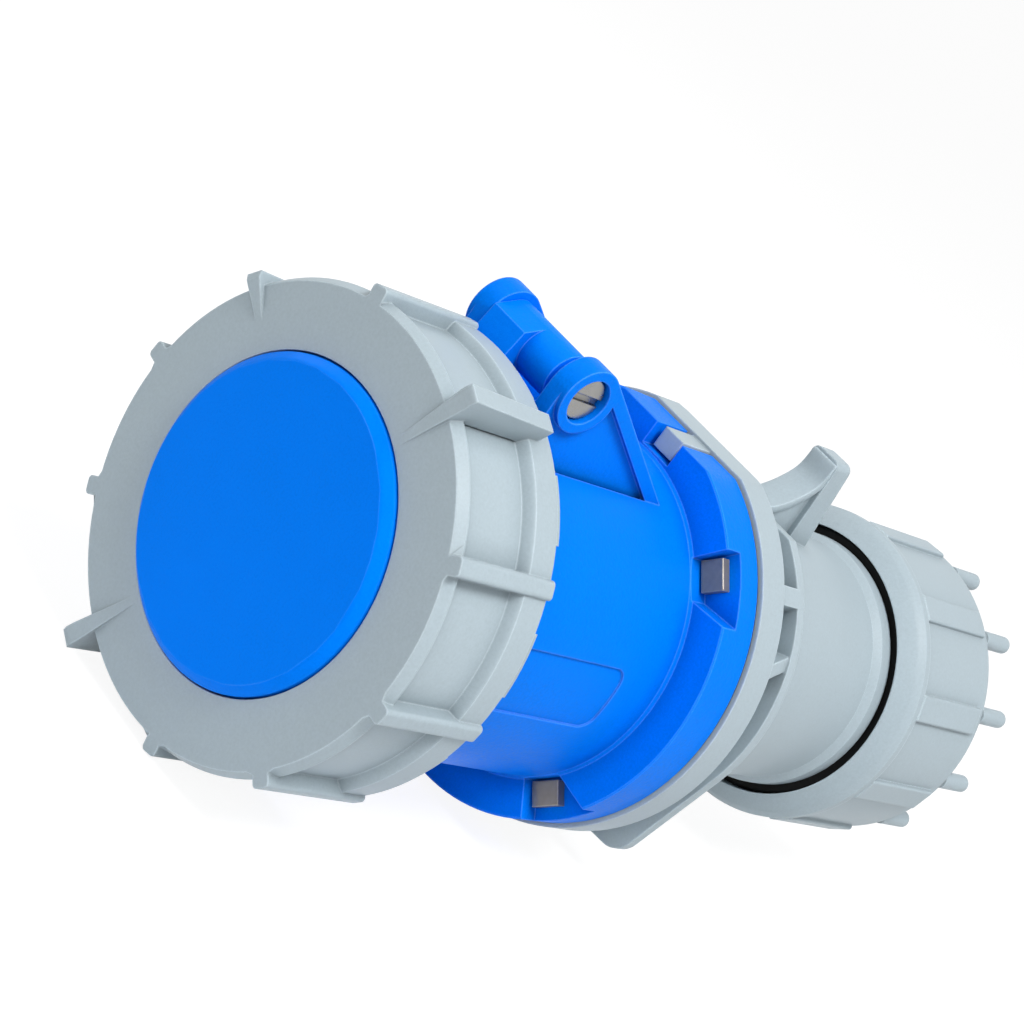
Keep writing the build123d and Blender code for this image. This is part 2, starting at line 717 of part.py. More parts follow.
# Contact sockets: split front sleeve, neck through the back plate and wire terminal
terminal_x = back_plate_x[1] + 7
screw_radius = 2.0
spring_x = socket_front_x + 6
spring_width = 2.0
spring_depth = 0.9
for name, psi, circle, bore, radius in sockets:
    with BuildPart() as socket:
        centre = around(circle, psi)
        neck = radius - neck_wall
        extrude(disc(socket_front_x, radius, centre), amount=carrier_back_x - socket_front_x)
        extrude(disc(carrier_back_x, neck, centre), amount=neck_back_x - carrier_back_x)
        extrude(disc(socket_front_x, bore, centre), amount=socket_depth, mode=Mode.SUBTRACT)
        extrude(disc(neck_back_x, neck - 1.5, centre), amount=-terminal_depth,
                mode=Mode.SUBTRACT)
        # Seat of the spring ring that closes the split sleeve
        extrude(disc(spring_x, radius, centre), amount=spring_width, mode=Mode.SUBTRACT)
        extrude(disc(spring_x, radius - spring_depth, centre), amount=spring_width)
        extrude(disc(spring_x, bore, centre), amount=spring_width, mode=Mode.SUBTRACT)
        plane = outward_plane(psi, circle)
        with BuildSketch(plane) as screw_hole:
            with Locations((0, terminal_x)):
                Circle(screw_radius)
        extrude(screw_hole.sketch, amount=radius, mode=Mode.SUBTRACT)
    socket.part.label = name
    export_step(socket.part, "parts/" + name + ".step")

# Spring rings around the sockets' mouths
with BuildPart() as contact_springs:
    for name, psi, circle, bore, radius in sockets:
        centre = around(circle, psi)
        with BuildSketch(cross_plane(spring_x)) as ring:
            with Locations(centre):
                Circle(radius)
                Circle(radius - spring_depth, mode=Mode.SUBTRACT)
                with Locations((0, radius)):
                    Rectangle(1.6, 4, mode=Mode.SUBTRACT)
        extrude(ring.sketch, amount=spring_width)
contact_springs.part.label = "contact_springs"

# Terminal screws, one in each socket
with BuildPart() as terminal_screws:
    for name, psi, circle, bore, radius in sockets:
        plane = outward_plane(psi, circle + radius - neck_wall - 1.5)
        with BuildSketch(plane) as thread:
            with Locations((0, terminal_x)):
                Circle(screw_radius)
        extrude(thread.sketch, amount=4.0)
        with BuildSketch(outward_plane(psi, circle + radius - neck_wall + 2.5)) as drive:
            with Locations((0, terminal_x)):
                Rectangle(0.7, 5)
        extrude(drive.sketch, amount=-0.9, mode=Mode.SUBTRACT)
terminal_screws.part.label = "terminal_screws"

# Cap: raised disc, flange, hinge arm and barrel moulded as one
plate_back_x = ring_front_x + ring_plate
with BuildPart() as cap_lid:
    cap_profile = section(
        (disc_front_x, 0),
        (disc_front_x, disc_radius),
        (plate_back_x + sliding_fit, disc_radius),
        (plate_back_x + sliding_fit, cap_flange_radius),
        (cap_flange_back_x, cap_flange_radius),
        (cap_flange_back_x, 0),
    )
    revolve(cap_profile, axis=Axis.X)
    front_edge = cap_lid.edges().filter_by(GeomType.CIRCLE).group_by(Axis.X)[0]
    fillet(front_edge, radius=disc_edge)
    hollow = tube_section(disc_front_x + disc_wall, cap_flange_back_x + 1, 0,
                          cap_gasket_radii[0] - 3)
    revolve(hollow, axis=Axis.X, mode=Mode.SUBTRACT)
    groove = tube_section(cap_flange_back_x - cap_gasket_groove, cap_flange_back_x + 1,
                          *cap_gasket_radii)
    revolve(groove, axis=Axis.X, mode=Mode.SUBTRACT)
    # Arm under the ring's rim and up to the hinge
    arm = section(
        (cap_flange_back_x - 1, arm_bottom_z),
        (cap_flange_back_x - 1, arm_top_z),
        (24.5, arm_top_z),
        (27.6, 60.0),
        (29.4, 69.6),
        (36.6, hinge_z + barrel_radius - 0.4),
        (hinge_x, hinge_z),
        (32.0, 54.0),
        (25.0, arm_bottom_z),
        plane=Plane.XZ.offset(-(arm_y[0] + arm_y[1]) / 2),
    )
    extrude(arm, amount=(arm_y[1] - arm_y[0]) / 2, both=True)
    with BuildSketch(Plane.XZ.offset(-barrel_y[1])) as barrel:
        with Locations((hinge_x, hinge_z)):
            Circle(barrel_radius)
    extrude(barrel.sketch, amount=barrel_y[1] - barrel_y[0])
    with BuildSketch(Plane.XZ.offset(-barrel_y[1])) as bore:
        with Locations((hinge_x, hinge_z)):
            Circle(pin_radius + running_fit)
    extrude(bore.sketch, amount=barrel_y[1] - barrel_y[0], mode=Mode.SUBTRACT)
cap_lid.part.label = "cap_lid"

# Rubber seal in the cap
with BuildPart() as cap_gasket:
    revolve(tube_section(cap_flange_back_x - cap_gasket_groove, -sliding_fit,
                         *cap_gasket_radii), axis=Axis.X)
cap_gasket.part.label = "cap_gasket"

# Snap ring that keeps the locking ring on the cap
with BuildPart() as ring_retainer:
    retainer_x = cap_flange_back_x + sliding_fit
    gap_start = -retainer_opening / 2 - 8
    add(segment(retainer_x, retainer_x + retainer_thickness, retainer_inner_radius,
                retainer_groove_radius - 0.2, gap_start + retainer_opening,
                360 - retainer_opening))
ring_retainer.part.label = "ring_retainer"

# Locking ring: face plate, ribbed wall, rim and bayonet ramps moulded as one
with BuildPart() as locking_ring:
    ring_profile = section(
        (ring_front_x, ring_hole),
        (ring_front_x, ring_edge_front),
        (ring_front_x + ring_edge_width, ring_edge_radius),
        (ring_front_x + ring_edge_width + ring_band_width, ring_edge_radius),
        (ring_front_x + ring_edge_width + ring_band_width + 0.6, ring_panel_radius),
        (ring_step_x - 1, ring_panel_radius),
        (ring_step_x, rim_radius - 0.8),
        (ring_step_x + 0.8, rim_radius),
        (ring_back_x - 0.8, rim_radius),
        (ring_back_x, rim_radius - 0.8),
        (ring_back_x, ring_rear_bore),
        (ring_rear_bore_x, ring_rear_bore),
        (ring_rear_bore_x, ring_bore),
        (plate_back_x, ring_bore),
        (plate_back_x, ring_hole),
    )
    revolve(ring_profile, axis=Axis.X)
    # Ribs across the recessed panels
    rib = section(
        (ring_front_x + 1.5, ring_bore + 1),
        (ring_rear_bore_x, ring_bore + 1),
        (ring_rear_bore_x, ring_rear_bore + 1),
        (ring_back_x - 0.5, ring_rear_bore + 1),
        (ring_back_x - 0.5, ring_radius),
        (ring_front_x + 3.0, ring_radius),
        (ring_front_x + 1.5, ring_edge_radius - 1),
    )
    with BuildPart(mode=Mode.PRIVATE) as one_rib:
        extrude(rib, amount=ring_rib_width / 2, both=True)
        long_edges = one_rib.edges().filter_by(Axis.X).group_by(Axis.Z)[-1]
        fillet(long_edges, radius=1.2)
    for step in range(ring_rib_count):
        if step not in fin_steps:
            add(one_rib.part.rotate(Axis.X, ring_rib_start + step * 360 / ring_rib_count))
    # Low teeth on the rim's back edge, between the ribs
    tooth_angle, tooth_height = rim_tooth
    for step in range(ring_rib_count):
        middle = ring_rib_start + (step + 0.5) * 360 / ring_rib_count
        add(segment(ring_back_x - 2, ring_back_x + tooth_height, ring_rear_bore + 0.7,
                    rim_radius - 0.9, middle - tooth_angle / 2, tooth_angle))
    # Two grip fins that rise from the face, and a smaller one
    fins = [(psi, fin_tip_radius, fin_top_radius, fin_proud) for psi in fin_angles]
    fins.append(
        (small_fin_angle, small_fin_tip_radius, small_fin_top_radius, small_fin_proud)
    )
    for psi, tip, top, proud in fins:
        with BuildSketch(radial_plane(psi)) as side_view:
            with BuildLine():
                Polyline(
                    (ring_front_x + 1, tip), (ring_front_x, tip),
                    (ring_front_x - proud, top - 1.8), (ring_front_x - proud + 0.6, top),
                    (fin_back_x, top - 1.6), (fin_back_x, ring_rear_bore + 1),
                    (ring_front_x + 1, ring_rear_bore + 1),
                    close=True,
                )
            make_face()
        with BuildPart(mode=Mode.PRIVATE) as fin:
            extrude(side_view.sketch, amount=fin_width / 2, both=True)
            for turn in (-1, 1):
                slope = section(
                    (tip - 1, turn * fin_tip_width / 2), (fin_taper_end, turn * fin_width / 2),
                    (fin_taper_end, turn * fin_width), (tip - 1, turn * fin_width),
                    plane=face_plane(psi, ring_front_x - 2 * proud),
                )
                extrude(slope, amount=fin_back_x - ring_front_x + 3 * proud, mode=Mode.SUBTRACT)
        add(fin.part)
    # Bayonet ramps inside the rear bore
    for start in ramp_starts:
        add(segment(ramp_front_x, ramp_front_x + ramp_thickness, ramp_radius,
                    ring_rear_bore + 1, start, ramp_sweep))
    # Groove for the snap ring
    groove_x = cap_flange_back_x + sliding_fit
    revolve(tube_section(groove_x, groove_x + retainer_thickness, ring_bore - 1,
                         retainer_groove_radius), axis=Axis.X, mode=Mode.SUBTRACT)
locking_ring.part.label = "locking_ring"

for piece in (
    front_housing, hinge_pin, housing_bolts, threaded_inserts, flange_gasket, rear_housing,
    nut_seal, cable_grommet, pressure_washer, clamp_cage, gland_nut,
    contact_face, contact_island, contact_carrier,
    carrier_back, carrier_screws, contact_springs, terminal_screws, cap_lid, cap_gasket,
    ring_retainer, locking_ring,
):
    export_step(piece.part, "parts/" + piece.part.label + ".step")
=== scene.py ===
import json
import math
import bpy
from mathutils import Matrix, Vector

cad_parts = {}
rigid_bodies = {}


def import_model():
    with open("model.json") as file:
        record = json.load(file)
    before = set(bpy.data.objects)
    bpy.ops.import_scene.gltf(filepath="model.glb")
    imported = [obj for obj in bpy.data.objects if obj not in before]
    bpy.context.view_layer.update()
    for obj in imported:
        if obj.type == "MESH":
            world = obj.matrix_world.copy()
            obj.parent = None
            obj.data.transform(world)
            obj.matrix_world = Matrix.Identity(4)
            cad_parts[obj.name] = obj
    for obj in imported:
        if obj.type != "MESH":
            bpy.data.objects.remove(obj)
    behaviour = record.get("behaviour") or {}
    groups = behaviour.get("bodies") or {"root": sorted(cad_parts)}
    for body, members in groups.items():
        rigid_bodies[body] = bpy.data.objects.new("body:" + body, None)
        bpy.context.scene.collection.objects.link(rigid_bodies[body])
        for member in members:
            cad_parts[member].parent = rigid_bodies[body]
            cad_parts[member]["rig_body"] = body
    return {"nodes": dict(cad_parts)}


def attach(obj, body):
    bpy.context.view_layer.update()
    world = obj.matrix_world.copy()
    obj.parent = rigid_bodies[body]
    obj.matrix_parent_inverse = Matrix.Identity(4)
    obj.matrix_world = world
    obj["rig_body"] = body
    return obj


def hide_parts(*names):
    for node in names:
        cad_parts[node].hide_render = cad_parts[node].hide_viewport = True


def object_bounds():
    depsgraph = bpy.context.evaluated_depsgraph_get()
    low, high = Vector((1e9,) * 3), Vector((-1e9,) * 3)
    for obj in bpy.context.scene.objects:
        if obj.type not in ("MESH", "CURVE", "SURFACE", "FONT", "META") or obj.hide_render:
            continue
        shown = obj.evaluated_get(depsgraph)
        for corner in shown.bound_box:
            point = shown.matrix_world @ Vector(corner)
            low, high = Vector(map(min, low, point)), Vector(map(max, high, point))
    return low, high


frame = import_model()
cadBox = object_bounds()
print("frame loaded")

mm = 0.001
bpy.context.scene.view_settings.view_transform = "Standard"


def deselectAll():
    if bpy.context.mode != "OBJECT":
        bpy.ops.object.mode_set(mode="OBJECT")
    bpy.ops.object.select_all(action="DESELECT")


def pick(piece):
    deselectAll()
    piece.select_set(True)
    bpy.context.view_layer.objects.active = piece


def applyModifiers(piece):
    pick(piece)
    for modifier in list(piece.modifiers):
        bpy.ops.object.modifier_apply(modifier=modifier.name)


def bakePlace(piece):
    pick(piece)
    bpy.ops.object.transform_apply(location=True, rotation=True, scale=True)


# Camera, as the product shot was taken: from the cap's side, a little above, rolled
camera = {
    "place": (-0.48118, -0.41023, 0.21535),
    "right": (0.610981, -0.549194, 0.570165),
    "up": (-0.179028, 0.605715, 0.775280),
    "lens": 94.92,
    "sensor": 36.0,
    "near": 0.01,
    "far": 60.0,
}


def placeCamera(spec):
    data = bpy.data.cameras.new("productCamera")
    data.lens = spec["lens"]
    data.sensor_width = spec["sensor"]
    data.clip_start = spec["near"]
    data.clip_end = spec["far"]
    eye = bpy.data.objects.new("productCamera", data)
    bpy.context.scene.collection.objects.link(eye)
    right = Vector(spec["right"]).normalized()
    up = Vector(spec["up"]).normalized()
    back = right.cross(up)
    turn = Matrix((right, up, back)).transposed().to_4x4()
    eye.matrix_world = Matrix.Translation(spec["place"]) @ turn
    bpy.context.scene.camera = eye


placeCamera(camera)

# Light: even white surroundings, a soft key above the near side and two weaker lamps
studio = {
    "surround": 0.36,
    "lamps": [
        {"name": "overhead", "from": (-0.12, -0.64, 1.06), "size": 0.5, "power": 12.6},
        {"name": "farSide", "from": (0.0, 1.60, 0.90), "size": 0.9, "power": 7.0},
        {"name": "cameraSide", "from": (-1.60, -0.90, 0.75), "size": 0.9, "power": 6.5},
    ],
    "aim": (0.13, 0.0, 0.0),
    "floorRadius": 30.0,
    "floorSides": 96,
    "floorGap": 0.0002,
    "floorPaint": 0.78,
    "floorShare": 0.25,
    "floorGlow": 1.2,
}
plainWhite = (1, 1, 1, 1)


# One where the camera, a reflection or glass looks straight at a surface
def seenDirectly(nodes, links):
    path = nodes.new("ShaderNodeLightPath")
    seen = nodes.new("ShaderNodeMath")
    seen.operation = "MAXIMUM"
    glass = nodes.new("ShaderNodeMath")
    glass.operation = "MAXIMUM"
    links.new(path.outputs["Is Camera Ray"], seen.inputs[0])
    links.new(path.outputs["Is Glossy Ray"], seen.inputs[1])
    links.new(seen.outputs[0], glass.inputs[0])
    links.new(path.outputs["Is Transmission Ray"], glass.inputs[1])
    return glass.outputs[0]


def lightStudio(spec):
    world = bpy.data.worlds.new("studioWorld")
    bpy.context.scene.world = world
    world.use_nodes = True
    nodes = world.node_tree.nodes
    links = world.node_tree.links
    nodes.clear()
    even = nodes.new("ShaderNodeBackground")
    even.inputs["Strength"].default_value = spec["surround"]
    white = nodes.new("ShaderNodeBackground")
    mix = nodes.new("ShaderNodeMixShader")
    out = nodes.new("ShaderNodeOutputWorld")
    even.inputs["Color"].default_value = plainWhite
    white.inputs["Color"].default_value = plainWhite
    links.new(seenDirectly(nodes, links), mix.inputs["Fac"])
    links.new(even.outputs[0], mix.inputs[1])
    links.new(white.outputs[0], mix.inputs[2])
    links.new(mix.outputs[0], out.inputs["Surface"])
    for lamp in spec["lamps"]:
        data = bpy.data.lights.new(lamp["name"], "AREA")
        data.shape = "DISK"
        data.size = lamp["size"]
        data.energy = lamp["power"]
        holder = bpy.data.objects.new(lamp["name"], data)
        bpy.context.scene.collection.objects.link(holder)
        place = Vector(lamp["from"])
        aim = Vector(spec["aim"]) - place
        holder.location = place
        holder.rotation_euler = aim.to_track_quat("-Z", "Y").to_euler()


def layFloor(spec):
    deselectAll()
    low = cadBox[0][2]
    bpy.ops.mesh.primitive_circle_add(
        vertices=spec["floorSides"], radius=spec["floorRadius"], fill_type="NGON",
        location=(0, 0, low - spec["floorGap"]),
    )
    floor = bpy.context.object
    floor.name = "studioFloor"
    bakePlace(floor)
    material = bpy.data.materials.new("floorWhite")
    material.use_nodes = True
    nodes = material.node_tree.nodes
    links = material.node_tree.links
    nodes.clear()
    paint = nodes.new("ShaderNodeBsdfDiffuse")
    paint.inputs["Color"].default_value = (spec["floorPaint"],) * 3 + (1,)
    glow = nodes.new("ShaderNodeEmission")
    glow.inputs["Color"].default_value = plainWhite
    glow.inputs["Strength"].default_value = spec["floorGlow"]
    share = nodes.new("ShaderNodeMath")
    share.operation = "MULTIPLY"
    share.inputs[1].default_value = 1 - spec["floorShare"]
    mix = nodes.new("ShaderNodeMixShader")
    out = nodes.new("ShaderNodeOutputMaterial")
    links.new(seenDirectly(nodes, links), share.inputs[0])
    links.new(share.outputs[0], mix.inputs["Fac"])
    links.new(paint.outputs[0], mix.inputs[1])
    links.new(glow.outputs[0], mix.inputs[2])
    links.new(mix.outputs[0], out.inputs["Surface"])
    floor.data.materials.clear()
    floor.data.materials.append(material)


lightStudio(studio)
layFloor(studio)
print("camera, lamps and floor set")


def newGroup(name, inputs, outputs):
    group = bpy.data.node_groups.new(name, "ShaderNodeTree")
    for label, kind, value in inputs:
        socket = group.interface.new_socket(name=label, in_out="INPUT", socket_type=kind)
        socket.default_value = value
    for label, kind in outputs:
        group.interface.new_socket(name=label, in_out="OUTPUT", socket_type=kind)
    start = group.nodes.new("NodeGroupInput")
    end = group.nodes.new("NodeGroupOutput")
    return group, start, end


def link(group, a, b):
    group.links.new(a, b)


# A maths node with its plain inputs set, such as {1: 0.5}
def addMath(group, operation, values):
    node = group.nodes.new("ShaderNodeMath")
    node.operation = operation
    for index, value in values.items():
        node.inputs[index].default_value = value
    return node


# Painted highlight: edges lighten where the rounded normal leaves the true one; painted shade:
# corners darken within a short reach
edgeLook = {
    "mildTurn": 0.995, "fullTurn": 0.86, "paintedGlint": 0.08,
    "paintedShadeReach": 7.0, "paintedShadeRays": 4, "roundingRays": 5,
}


def makeEdgeMask(spec):
    group, start, end = newGroup(
        "edgeMask", [("Rounded", "NodeSocketVector", (0, 0, 1))], [("Edge", "NodeSocketFloat")]
    )
    nodes = group.nodes
    surface = nodes.new("ShaderNodeNewGeometry")
    turn = nodes.new("ShaderNodeVectorMath")
    turn.operation = "DOT_PRODUCT"
    spread = nodes.new("ShaderNodeMapRange")
    spread.interpolation_type = "SMOOTHSTEP"
    spread.inputs["From Min"].default_value = spec["mildTurn"]
    spread.inputs["From Max"].default_value = spec["fullTurn"]
    link(group, surface.outputs["Normal"], turn.inputs[0])
    link(group, start.outputs["Rounded"], turn.inputs[1])
    link(group, turn.outputs["Value"], spread.inputs["Value"])
    link(group, spread.outputs["Result"], end.inputs["Edge"])
    return group


edgeMask = makeEdgeMask(edgeLook)


# Colour of a finish: its tinted base, with a painted highlight along the edges and painted shade
# in its own corners
def shadeEdges(group, start, end, tinted, spec):
    nodes = group.nodes
    mask = nodes.new("ShaderNodeGroup")
    mask.node_tree = edgeMask
    # painted shade: ambient occlusion darkens the colour in the piece's own corners
    corner = nodes.new("ShaderNodeAmbientOcclusion")
    corner.samples = spec["paintedShadeRays"]
    corner.only_local = True
    corner.inputs["Distance"].default_value = spec["paintedShadeReach"] * mm
    openness = nodes.new("ShaderNodeMix")
    openness.data_type = "FLOAT"
    openness.inputs["A"].default_value = 1.0
    # painted highlight: along the edges the colour is scaled up and a white glint is added
    gain = addMath(group, "MULTIPLY_ADD", {2: 1.0})
    level = addMath(group, "MULTIPLY", {})
    paintedGlint = addMath(group, "MULTIPLY", {1: spec["paintedGlint"]})
    bright = nodes.new("ShaderNodeVectorMath")
    bright.operation = "MULTIPLY_ADD"
    link(group, start.outputs["Rounded"], mask.inputs["Rounded"])
    link(group, start.outputs["Painted Crevice Shade"], openness.inputs["Factor"])
    link(group, corner.outputs["AO"], openness.inputs["B"])
    link(group, mask.outputs["Edge"], gain.inputs[0])
    link(group, start.outputs["Painted Edge Highlight"], gain.inputs[1])
    link(group, gain.outputs[0], level.inputs[0])
    link(group, openness.outputs["Result"], level.inputs[1])
    link(group, mask.outputs["Edge"], paintedGlint.inputs[0])
    link(group, tinted, bright.inputs[0])
    link(group, level.outputs[0], bright.inputs[1])
    link(group, paintedGlint.outputs[0], bright.inputs[2])
    link(group, bright.outputs[0], end.inputs["Color"])


# Scales the base by 1 + strength * swing, then hands it on for its painted edge highlight and
# painted corner shade
def tintBase(group, start, end, swing, strength):
    amount = addMath(group, "MULTIPLY_ADD", {2: 1.0})
    link(group, swing, amount.inputs[0])
    link(group, start.outputs[strength], amount.inputs[1])
    tint = group.nodes.new("ShaderNodeVectorMath")
    tint.operation = "SCALE"
    link(group, start.outputs["Base"], tint.inputs[0])
    link(group, amount.outputs[0], tint.inputs["Scale"])
    shadeEdges(group, start, end, tint.outputs[0], edgeLook)


# Roughness wanders with the same swing as the colour
def roughen(group, start, end, swing, share):
    rough = addMath(group, "MULTIPLY_ADD", {1: share})
    link(group, swing, rough.inputs[0])
    link(group, start.outputs["Rough"], rough.inputs[2])
    link(group, rough.outputs[0], end.inputs["Roughness"])


finishOutputs = [
    ("Color", "NodeSocketColor"), ("Roughness", "NodeSocketFloat"), ("Normal", "NodeSocketVector"),
]

# Fine spark-eroded texture of a mould, with faint flow clouds under it
mouldTexture = {
    "flowSize": 34, "flowDetail": 4, "grainDetail": 3, "grainRough": 0.62,
    "pitSize": 0.55, "pitSoft": 0.6, "pitShare": 0.5,
    "speckle": 3.0, "middle": 2.0, "roughShare": 0.16,
}


def makeMouldGrain(spec):
    group, start, end = newGroup(
        "mouldGrain",
        [
            ("Base", "NodeSocketColor", (0.5, 0.5, 0.5, 1)),
            ("Cloud", "NodeSocketFloat", 0.05),
            ("Grain Size", "NodeSocketFloat", 2600.0),
            ("Grain Depth", "NodeSocketFloat", 0.00002),
            ("Rough", "NodeSocketFloat", 0.45),
            # the next two set the painted edge highlight and the painted corner shade
            ("Painted Edge Highlight", "NodeSocketFloat", 0.4),
            ("Painted Crevice Shade", "NodeSocketFloat", 0.6),
            ("Rounded", "NodeSocketVector", (0, 0, 1)),
        ],
        finishOutputs,
    )
    nodes = group.nodes
    place = nodes.new("ShaderNodeTexCoord")
    flow = nodes.new("ShaderNodeTexNoise")
    flow.inputs["Scale"].default_value = spec["flowSize"]
    flow.inputs["Detail"].default_value = spec["flowDetail"]
    grain = nodes.new("ShaderNodeTexNoise")
    grain.inputs["Detail"].default_value = spec["grainDetail"]
    grain.inputs["Roughness"].default_value = spec["grainRough"]
    pits = nodes.new("ShaderNodeTexVoronoi")
    pits.feature = "SMOOTH_F1"
    pits.inputs["Smoothness"].default_value = spec["pitSoft"]
    for texture in (flow, grain, pits):
        link(group, place.outputs["Object"], texture.inputs["Vector"])
    link(group, start.outputs["Grain Size"], grain.inputs["Scale"])
    pitScale = addMath(group, "MULTIPLY", {1: spec["pitSize"]})
    link(group, start.outputs["Grain Size"], pitScale.inputs[0])
    link(group, pitScale.outputs[0], pits.inputs["Scale"])
    heights = addMath(group, "MULTIPLY_ADD", {1: spec["pitShare"]})
    link(group, pits.outputs["Distance"], heights.inputs[0])
    link(group, grain.outputs["Fac"], heights.inputs[2])
    bump = nodes.new("ShaderNodeBump")
    bump.inputs["Strength"].default_value = 1.0
    link(group, start.outputs["Grain Depth"], bump.inputs["Distance"])
    link(group, heights.outputs[0], bump.inputs["Height"])
    link(group, start.outputs["Rounded"], bump.inputs["Normal"])
    link(group, bump.outputs["Normal"], end.inputs["Normal"])
    # the flow clouds lighten and darken the base, the grain speckles it
    shade = addMath(group, "MULTIPLY_ADD", {1: spec["speckle"]})
    link(group, grain.outputs["Fac"], shade.inputs[0])
    link(group, flow.outputs["Fac"], shade.inputs[2])
    centre = addMath(group, "SUBTRACT", {1: spec["middle"]})
    link(group, shade.outputs[0], centre.inputs[0])
    tintBase(group, start, end, centre.outputs[0], "Cloud")
    roughen(group, start, end, centre.outputs[0], spec["roughShare"])
    return group


# Turned or plated metal: fine lines, faint mottling
metalTexture = {
    "stretch": (1.0, 0.12, 0.12), "lineDetail": 3, "mottleSize": 420, "mottleDetail": 5,
    "middle": 0.5, "roughShare": 0.3,
}


def makeMetalFinish(spec):
    group, start, end = newGroup(
        "metalFinish",
        [
            ("Base", "NodeSocketColor", (0.6, 0.6, 0.6, 1)),
            ("Line Size", "NodeSocketFloat", 900.0),
            ("Line Depth", "NodeSocketFloat", 0.00001),
            ("Mottle", "NodeSocketFloat", 0.2),
            ("Rough", "NodeSocketFloat", 0.3),
            # the next two set the painted edge highlight and the painted corner shade
            ("Painted Edge Highlight", "NodeSocketFloat", 0.8),
            ("Painted Crevice Shade", "NodeSocketFloat", 0.5),
            ("Rounded", "NodeSocketVector", (0, 0, 1)),
        ],
        finishOutputs,
    )
    nodes = group.nodes
    place = nodes.new("ShaderNodeTexCoord")
    stretch = nodes.new("ShaderNodeMapping")
    stretch.inputs["Scale"].default_value = spec["stretch"]
    lines = nodes.new("ShaderNodeTexNoise")
    lines.inputs["Detail"].default_value = spec["lineDetail"]
    mottle = nodes.new("ShaderNodeTexNoise")
    mottle.inputs["Scale"].default_value = spec["mottleSize"]
    mottle.inputs["Detail"].default_value = spec["mottleDetail"]
    link(group, place.outputs["Object"], stretch.inputs["Vector"])
    link(group, stretch.outputs["Vector"], lines.inputs["Vector"])
    link(group, place.outputs["Object"], mottle.inputs["Vector"])
    link(group, start.outputs["Line Size"], lines.inputs["Scale"])
    bump = nodes.new("ShaderNodeBump")
    link(group, start.outputs["Line Depth"], bump.inputs["Distance"])
    link(group, lines.outputs["Fac"], bump.inputs["Height"])
    link(group, start.outputs["Rounded"], bump.inputs["Normal"])
    link(group, bump.outputs["Normal"], end.inputs["Normal"])
    centre = addMath(group, "SUBTRACT", {1: spec["middle"]})
    link(group, mottle.outputs["Fac"], centre.inputs[0])
    tintBase(group, start, end, centre.outputs[0], "Mottle")
    roughen(group, start, end, centre.outputs[0], spec["roughShare"])
    return group


mouldGrain = makeMouldGrain(mouldTexture)
metalFinish = makeMetalFinish(metalTexture)

# Each finish: its group, the group's values, its edge radius in mm and the shader's own values
finishes = {
    "blueMoulding": {
        "group": mouldGrain,
        "values": {"Base": (0.0, 0.2, 0.92, 1), "Cloud": 0.11, "Grain Size": 1300.0,
                   "Grain Depth": 0.00007, "Rough": 0.4},
        "edge": 0.7,
        "shader": {"Specular IOR Level": 0.05, "Specular Tint": (0.06, 0.45, 1.0, 1)},
    },
    "capBlue": {
        "group": mouldGrain,
        "values": {"Base": (0.0, 0.215, 1.0, 1), "Cloud": 0.08, "Grain Size": 1500.0,
                   "Grain Depth": 0.00005, "Rough": 0.4},
        "edge": 0.6,
        "shader": {"Specular IOR Level": 0.05, "Specular Tint": (0.06, 0.45, 1.0, 1)},
    },
    "greyMoulding": {
        "group": mouldGrain,
        "values": {"Base": (0.404, 0.486, 0.532, 1), "Cloud": 0.07, "Grain Size": 1250.0,
                   "Grain Depth": 0.00006, "Rough": 0.42},
        "edge": 0.8,
        "shader": {"Specular IOR Level": 0.22},
    },
    "blackCarrier": {
        "group": mouldGrain,
        "values": {"Base": (0.028, 0.028, 0.031, 1), "Cloud": 0.2, "Grain Size": 1800.0,
                   "Grain Depth": 0.00004, "Rough": 0.5},
        "edge": 0.4,
        "shader": {"Specular IOR Level": 0.45},
    },
    "blackRubber": {
        "group": mouldGrain,
        "values": {"Base": (0.008, 0.008, 0.008, 1), "Cloud": 0.4, "Grain Size": 1500.0,
                   "Grain Depth": 0.00005, "Rough": 0.6},
        "edge": 0.4,
        "shader": {"Specular IOR Level": 0.14},
    },
    "darkNickel": {
        "group": metalFinish,
        "values": {"Base": (0.27, 0.24, 0.19, 1), "Line Size": 700.0, "Line Depth": 0.00001,
                   "Mottle": 0.5, "Rough": 0.36},
        "edge": 0.6,
        "shader": {"Metallic": 0.45, "Specular IOR Level": 0.5},
    },
    "brightSteel": {
        "group": metalFinish,
        "values": {"Base": (0.33, 0.325, 0.31, 1), "Line Size": 900.0, "Line Depth": 0.000012,
                   "Mottle": 0.35, "Rough": 0.3},
        "edge": 0.4,
        "shader": {"Metallic": 1.0},
    },
    "springSteel": {
        "group": metalFinish,
        "values": {"Base": (0.46, 0.46, 0.47, 1), "Line Size": 1200.0, "Line Depth": 0.000008,
                   "Mottle": 0.25, "Rough": 0.34},
        "edge": 0.2,
        "shader": {"Metallic": 1.0},
    },
    "turnedBrass": {
        "group": metalFinish,
        "values": {"Base": (0.80, 0.56, 0.24, 1), "Line Size": 1400.0, "Line Depth": 0.000014,
                   "Mottle": 0.25, "Rough": 0.28},
        "edge": 0.3,
        "shader": {"Metallic": 1.0},
    },
}


